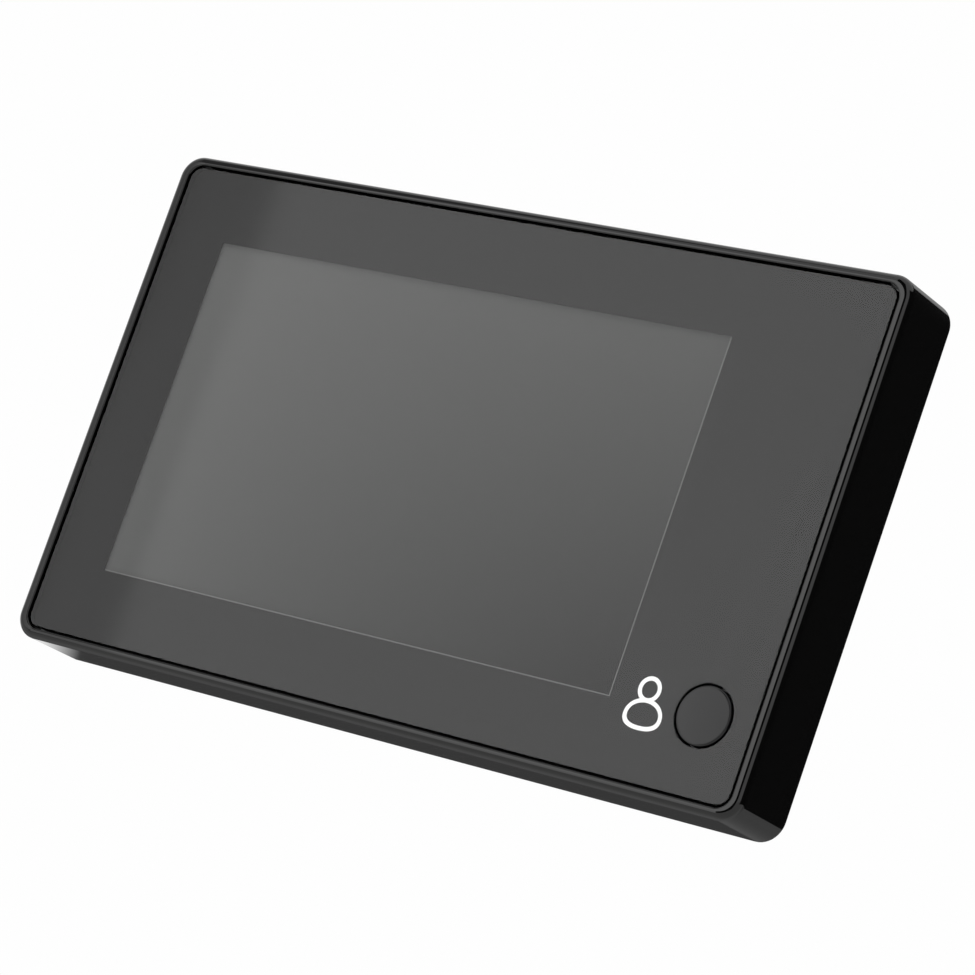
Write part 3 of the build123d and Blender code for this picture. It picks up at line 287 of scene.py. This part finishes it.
# Grey on the floor behind the part, paler to the right
FLOOR_CARD_SIZE = 3
FLOOR_CARD_Y = 1.55
FLOOR_CARD_LIFT = 0.01
bpy.ops.object.select_all(action="DESELECT")
bpy.ops.mesh.primitive_plane_add(
    size=FLOOR_CARD_SIZE, location=(0, FLOOR_CARD_Y, FLOOR_Z + FLOOR_CARD_LIFT),
)
bpy.context.object.name = "floor_card"
bpy.ops.object.transform_apply(location=True, rotation=True, scale=True)
dress_card(bpy.context.object, glow=((-0.9, 0.07), (0.4, 0.46)), near=2.4)

# Piano black ABS, moulded in a polished tool: deep black, sharp reflections, a trace of waviness.
# Sizes in mm.
WAVE_SIZE, WAVE_DEPTH = 6.0, 0.1
HAZE_SIZE = 0.5
gloss_abs, tree, output, where = material("polished_black_abs")
wave = add(tree, "ShaderNodeTexNoise", {"Vector": where, "Scale": per(WAVE_SIZE), "Detail": 1.0})
haze_and_painted_sheen = add(tree, "ShaderNodeTexNoise", {"Vector": where, "Scale": per(HAZE_SIZE), "Detail": 4.0})
gloss = add(
    tree, "ShaderNodeMapRange",
    {"Value": haze_and_painted_sheen.outputs[0], "From Min": 0.3, "From Max": 0.75, "To Min": 0.03, "To Max": 0.06},
)
bump = add(
    tree, "ShaderNodeBump",
    {"Height": wave.outputs[0], "Strength": 0.04, "Distance": WAVE_DEPTH * MM},
)
shade = add(
    tree, "ShaderNodeMix",
    {0: haze_and_painted_sheen.outputs[0], 6: linear("#030303"), 7: linear("#060606")}, data_type="RGBA",
)
shader = add(
    tree, "ShaderNodeBsdfPrincipled",
    {"Base Color": shade.outputs[2], "Roughness": gloss.outputs[0], "Normal": bump.outputs[0],
     "IOR": 1.53},
)
surface(tree, output, shader)

# Cast acrylic, hard coated: clear, with the reflection on its outer face alone, since the ink
# is bonded to its back. Its cut edges are a dull black, a painted shade that darkens the gap to the rim.
# Sizes in mm.
SMEAR_SIZE = 30.0
acrylic, tree, output, where = material("hard_coated_acrylic")
smear = add(tree, "ShaderNodeTexNoise", {"Vector": where, "Scale": per(SMEAR_SIZE), "Detail": 0.0})
gloss = add(
    tree, "ShaderNodeMapRange",
    {"Value": smear.outputs[0], "From Min": 0.35, "From Max": 0.7, "To Min": 0.04, "To Max": 0.055},
)
mirror = add(
    tree, "ShaderNodeBsdfPrincipled",
    {"Base Color": linear("#000000"), "Roughness": gloss.outputs[0], "IOR": 1.49},
)
through = add(tree, "ShaderNodeBsdfTransparent", {"Color": linear("#F6F7F6")})
both = add(tree, "ShaderNodeAddShader", {0: mirror.outputs[0], 1: through.outputs[0]})
geometry = add(tree, "ShaderNodeNewGeometry")
clear = add(tree, "ShaderNodeBsdfTransparent", {"Color": linear("#FFFFFF")})
window = add(
    tree, "ShaderNodeMixShader",
    {0: geometry.outputs["Backfacing"], 1: both.outputs[0], 2: clear.outputs[0]},
)
# Painted shade: faces that do not face the front, the cut edges, turn a dull black that darkens the gap to
# the rim
facing = add(tree, "ShaderNodeSeparateXYZ", {"Vector": geometry.outputs["True Normal"]})
flat = add(tree, "ShaderNodeMath", {0: facing.outputs["Y"]}, operation="ABSOLUTE")
painted_edge_mask = add(
    tree, "ShaderNodeMapRange",
    {"Value": flat.outputs[0], "From Min": 0.35, "From Max": 0.75, "To Min": 1.0, "To Max": 0.0},
)
painted_gap_shade = add(
    tree, "ShaderNodeBsdfPrincipled",
    {"Base Color": linear("#050505"), "Roughness": 0.6, "Specular IOR Level": 0.2},
)
whole = add(
    tree, "ShaderNodeMixShader",
    {0: painted_edge_mask.outputs[0], 1: window.outputs[0], 2: painted_gap_shade.outputs[0]},
)
surface(tree, output, whole)

# Screen glass under its polariser: a grey, partly its own and partly a painted reflection that is paler
# towards the upper left, and a painted highlight as a thin light edge along the right and the bottom. Places
# and widths in mm.
SCREEN_LEFT, SCREEN_RIGHT = -54.83, 40.21
SCREEN_LOW, SCREEN_HIGH = -26.87, 26.99
EDGE_RIGHT, EDGE_LOW = 0.45, 0.23
# How much of the painted reflection fades towards the right, downwards, and towards the corner of both
LOST_RIGHT, LOST_DOWN, LOST_CORNER = 0.40, 0.108, 0.526
lcd_glass, tree, output, where = material("polarised_screen_glass")
apart = add(tree, "ShaderNodeSeparateXYZ", {"Vector": where})
across = add(
    tree, "ShaderNodeMapRange",
    {"Value": apart.outputs["X"], "From Min": SCREEN_LEFT * MM, "From Max": SCREEN_RIGHT * MM},
)
down = add(
    tree, "ShaderNodeMapRange",
    {"Value": apart.outputs["Z"], "From Min": SCREEN_HIGH * MM, "From Max": SCREEN_LOW * MM},
)
across = add(tree, "ShaderNodeMath", {0: across.outputs[0], 1: 0.6}, operation="POWER")
both = add(
    tree, "ShaderNodeMath", {0: across.outputs[0], 1: down.outputs[0]}, operation="MULTIPLY",
)
painted_sheen_fade = add(tree, "ShaderNodeMath", {0: across.outputs[0], 1: LOST_RIGHT}, operation="MULTIPLY")
painted_sheen_fade = add(
    tree, "ShaderNodeMath",
    {0: down.outputs[0], 1: LOST_DOWN, 2: painted_sheen_fade.outputs[0]}, operation="MULTIPLY_ADD",
)
painted_sheen_fade = add(
    tree, "ShaderNodeMath",
    {0: both.outputs[0], 1: LOST_CORNER, 2: painted_sheen_fade.outputs[0]}, operation="MULTIPLY_ADD",
)
# Painted reflection: a grey, partly the screen's own, paler at the upper left and fading to black at the
# lower right
haze_and_painted_sheen = add(
    tree, "ShaderNodeMix",
    {0: painted_sheen_fade.outputs[0], 6: linear("#585858"), 7: linear("#000000")}, data_type="RGBA",
)
# Painted highlight: thin light lines along the right and the bottom of the screen
right = add(
    tree, "ShaderNodeMath",
    {0: apart.outputs["X"], 1: (SCREEN_RIGHT - EDGE_RIGHT) * MM}, operation="GREATER_THAN",
)
low = add(
    tree, "ShaderNodeMath",
    {0: apart.outputs["Z"], 1: (SCREEN_LOW + EDGE_LOW) * MM}, operation="LESS_THAN",
)
painted_edge_mask = add(tree, "ShaderNodeMath", {0: right.outputs[0], 1: low.outputs[0]}, operation="MAXIMUM")
haze_and_painted_sheen = add(
    tree, "ShaderNodeMix",
    {0: painted_edge_mask.outputs[0], 6: haze_and_painted_sheen.outputs[2], 7: linear("#7C7C7C")}, data_type="RGBA",
)
shader = add(
    tree, "ShaderNodeBsdfPrincipled",
    {"Base Color": haze_and_painted_sheen.outputs[2], "Roughness": 0.5, "Specular IOR Level": 0.0},
)
surface(tree, output, shader)

finishes = {
    "front_housing": gloss_abs,
    "window": acrylic,
    "screen": lcd_glass,
    # Ink, silk-screened: a dense, even black
    "mask": textured(
        "screened_black_ink", "#060606", "#090909",
        roughness=0.5, spread=0.05, grain=0.4, relief=0.02, shine=0.0,
    ),
    # ABS, moulded in a spark-eroded tool: a fine even grain that scatters the light
    "rear_cover": textured(
        "grained_black_abs", "#121213", "#1A1A1B",
        roughness=0.5, spread=0.06, grain=0.35, relief=0.5,
    ),
    # Foam tape, die cut: dull black, slightly pitted
    "tape": textured(
        "black_foam_tape", "#0C0C0C", "#161616",
        roughness=0.85, spread=0.05, grain=0.3, relief=0.4,
    ),
    # ABS, moulded in a satin tool: smooth black with a blurred reflection
    "button": textured(
        "satin_black_abs", "#070708", "#0A0A0B",
        roughness=0.14, spread=0.03, grain=0.5, relief=0.02, shine=0.48,
    ),
    # Stainless steel, pressed from rolled sheet: bright, with streaks along the rolling
    "lcd_steel": textured(
        "pressed_stainless_steel", "#9A9C9E", "#B4B6B8",
        roughness=0.3, spread=0.08, grain=0.2, relief=0.1, metallic=1.0, stretch=(0.1, 1, 1),
    ),
    # White film, extruded: bright and even
    "light_guide": textured(
        "white_reflector_film", "#E6E8EA", "#F2F3F4",
        roughness=0.4, spread=0.05, grain=0.6, relief=0.05,
    ),
    # Polyimide film, laminated: amber, with a soft gloss
    "flex_cable": textured(
        "amber_polyimide_film", "#8A4A12", "#A45C1C",
        roughness=0.35, spread=0.05, grain=1.2, relief=0.05,
    ),
    # Nylon, moulded: a warm white, half matt
    "white_nylon": textured(
        "moulded_white_nylon", "#DAD6C8", "#E6E3D8",
        roughness=0.5, spread=0.05, grain=0.5, relief=0.1,
    ),
    # Nylon, moulded: black, half matt
    "black_nylon": textured(
        "moulded_black_nylon", "#121212", "#1C1C1C",
        roughness=0.5, spread=0.06, grain=0.4, relief=0.15,
    ),
    # Solder mask, cured on the board: dark green, with a soft gloss
    "board": textured(
        "green_solder_mask", "#0C3A22", "#12492C",
        roughness=0.35, spread=0.06, grain=0.8, relief=0.15,
    ),
    # Epoxy, moulded: dull and nearly black, with a very fine grain
    "chips": textured(
        "moulded_black_epoxy", "#17181A", "#1F2022",
        roughness=0.6, spread=0.05, grain=0.15, relief=0.3,
    ),
    # Ceramic, fired: tan, half matt
    "capacitors": textured(
        "fired_tan_ceramic", "#7A5E40", "#8E7050",
        roughness=0.45, spread=0.05, grain=0.3, relief=0.15,
    ),
    # Acrylic, moulded and frosted: pale and milky
    "lamp": textured(
        "frosted_clear_acrylic", "#D6DADC", "#E6E9EA",
        roughness=0.3, spread=0.05, grain=0.4, relief=0.1,
    ),
    # Foil laminate, crimped round the cell: silvery, with shallow wrinkles
    "battery": textured(
        "crimped_foil_pouch", "#A9ADB2", "#C2C6CA",
        roughness=0.28, spread=0.08, grain=1.6, relief=0.25, metallic=1.0,
    ),
    # PVC, extruded over the wire: an even red with a soft gloss
    "lead": textured(
        "red_pvc_insulation", "#8E1412", "#A61C18",
        roughness=0.45, spread=0.05, grain=0.8, relief=0.1,
    ),
    # Steel, zinc plated: pale grey metal with a cloudy gloss
    "speaker_steel": textured(
        "zinc_plated_steel", "#9FA3A6", "#B9BCBE",
        roughness=0.32, spread=0.08, grain=0.3, relief=0.12, metallic=1.0,
    ),
    # Plastic film, pressed: smooth and nearly black
    "speaker_cone": textured(
        "pressed_black_film", "#101011", "#1A1A1B",
        roughness=0.4, spread=0.05, grain=0.5, relief=0.15,
    ),
    # Steel, nickel plated: a warm bright silver
    "port_steel": textured(
        "nickel_plated_steel", "#B2AFA8", "#C6C3BC",
        roughness=0.22, spread=0.06, grain=0.2, relief=0.06, metallic=1.0,
    ),
    # Plastic, moulded round the memory: smooth, nearly black, fairly glossy
    "card": textured(
        "moulded_card_plastic", "#101013", "#17171A",
        roughness=0.3, spread=0.05, grain=0.5, relief=0.05,
    ),
    # Rubber, moulded: matt, a very dark grey
    "bumper": textured(
        "moulded_black_rubber", "#161616", "#202020",
        roughness=0.8, spread=0.06, grain=0.4, relief=0.35,
    ),
    # Steel, blackened in oil: dark grey metal
    "screws": textured(
        "blackened_steel", "#3A3A3C", "#4C4C4E",
        roughness=0.35, spread=0.08, grain=0.25, relief=0.15, metallic=1.0,
    ),
    # Steel, rolled and zinc plated: pale bluish metal with streaks along the rolling
    "bracket": textured(
        "rolled_zinc_plated_steel", "#A6AAAE", "#BFC3C6",
        roughness=0.34, spread=0.08, grain=0.3, relief=0.12, metallic=1.0, stretch=(0.06, 1, 1),
    ),
}

for obj in nodes.values():
    for holder in obj.material_slots:
        holder.material = finishes[holder.material.name.split(".")[0]]

# Person pictogram: two rings of white ink on the back of the window
INK_BACK = -11.80 * MM
LINE = 0.63 * MM
RING_POINTS = 128
# Ink, silk-screened: an opaque, even white
ink = textured(
    "screened_white_ink", "#FCFCFC", "#FFFFFF",
    roughness=0.6, spread=0.05, grain=0.4, relief=0.0, shine=0.0,
)


def ink_ring(name, x, z, half_wide, rise, drop, fullness, front):
    """A flat closed line of ink, sizes in mm, up to rise above (x, z) and down to drop below it.

    Above the middle it is half an ellipse, and below it is fuller where fullness is under 1.
    """
    bpy.ops.object.select_all(action="DESELECT")
    centre = (x * MM, INK_BACK, z * MM)
    bpy.ops.mesh.primitive_circle_add(
        vertices=RING_POINTS, radius=1, location=centre, rotation=(math.pi / 2, 0, 0),
    )
    ring = bpy.context.object
    ring.name = name
    bpy.ops.object.transform_apply(location=True, rotation=True, scale=True)
    # The outer edge
    for point in ring.data.vertices:
        across, up = point.co.x - centre[0], point.co.z - centre[2]
        power, reach = (1, rise) if up >= 0 else (fullness, drop)
        point.co.x = centre[0] + math.copysign(abs(across) ** power, across) * half_wide * MM
        point.co.z = centre[2] + math.copysign(abs(up) ** power, up) * reach * MM
    # The inner edge, one line's width inside it all round
    bpy.ops.object.mode_set(mode="EDIT")
    bpy.ops.mesh.select_all(action="SELECT")
    bpy.ops.mesh.extrude_edges_move()
    inner = (1 - LINE / (half_wide * MM), 1, 1 - 2 * LINE / ((rise + drop) * MM))
    bpy.ops.transform.resize(value=inner, center_override=centre)
    bpy.ops.transform.translate(value=(0, 0, (rise - drop) / (rise + drop) * LINE))
    # The thickness
    bpy.ops.mesh.select_all(action="SELECT")
    bpy.ops.mesh.extrude_region_move(
        TRANSFORM_OT_translate={"value": (0, front * MM - INK_BACK, 0)},
    )
    bpy.ops.mesh.select_all(action="SELECT")
    bpy.ops.mesh.normals_make_consistent(inside=False)
    bpy.ops.object.mode_set(mode="OBJECT")
    ring.data.materials.append(ink)
    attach(ring, "monitor")


# The head stands a little prouder, where the two lines cross
ink_ring(
    "mark_head", x=46.22, z=-24.59, half_wide=1.89, rise=1.89, drop=1.89, fullness=1.0, front=-11.84,
)
ink_ring(
    "mark_shoulders", x=46.45, z=-28.49, half_wide=3.2, rise=2.6, drop=2.0, fullness=0.82, front=-11.83,
)
